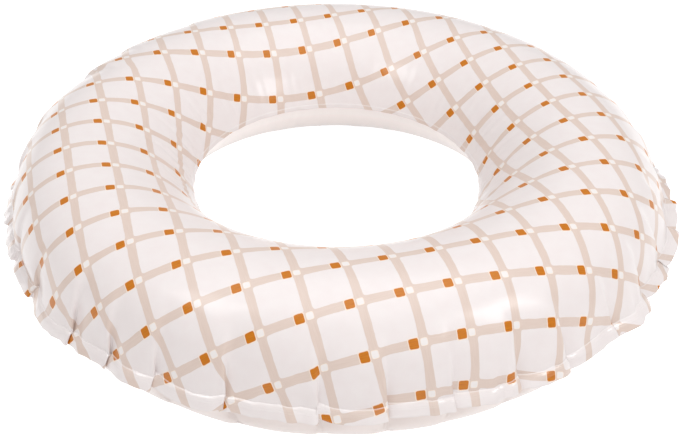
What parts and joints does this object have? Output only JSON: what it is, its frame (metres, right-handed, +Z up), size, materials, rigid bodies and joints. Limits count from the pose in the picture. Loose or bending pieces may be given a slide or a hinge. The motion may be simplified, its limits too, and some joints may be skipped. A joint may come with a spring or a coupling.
{
  "type": "swim ring",
  "caption": "Inflated swim ring of two welded plastic films with a puckered outer seam and a pull-out valve with hinged stopper.",
  "frame": {"origin": "On the floor under the middle of the hole, the ring lying on its plain lower film.", "axes": "+Z up along the ring's own axis. +Y points to the side that carries the valve, which is the far side in the picture. +X to the right in the picture."},
  "size_m": [0.7842, 0.7843, 0.169],
  "materials": {
    "printed_film": "gloss",
    "plain_film": "gloss",
    "weld_margin": "gloss",
    "valve_plastic": "satin"
  },
  "bodies": {
    "ring": {"upper_film": "printed_film", "lower_film": "plain_film", "outer_seam": "weld_margin", "inner_seam": "weld_margin", "valve_flange": "valve_plastic", "valve_web": "valve_plastic"},
    "stem": {"valve_stem": "valve_plastic"},
    "plug": {"valve_plug": "valve_plastic"},
    "flap": {"check_flap": "valve_plastic"}
  },
  "joints": [
    {"name": "stem_pull", "type": "slide", "parent": "ring", "child": "stem", "axis": [0, 0.8274, -0.5616], "range_m": [0, 0.014], "deforming": ["valve_web"]},
    {"name": "plug_hinge", "type": "hinge", "parent": "stem", "child": "plug", "pos_m": [0, 0.36909, 0.04662], "axis": [1, 0, 0], "range_deg": [0, 120]},
    {"name": "flap_hinge", "type": "hinge", "parent": "stem", "child": "flap", "pos_m": [0, 0.35261, 0.05164], "axis": [-1, 0, 0], "range_deg": [0, 60], "stiffness_Nm_per_rad": 0.0002}
  ]
}
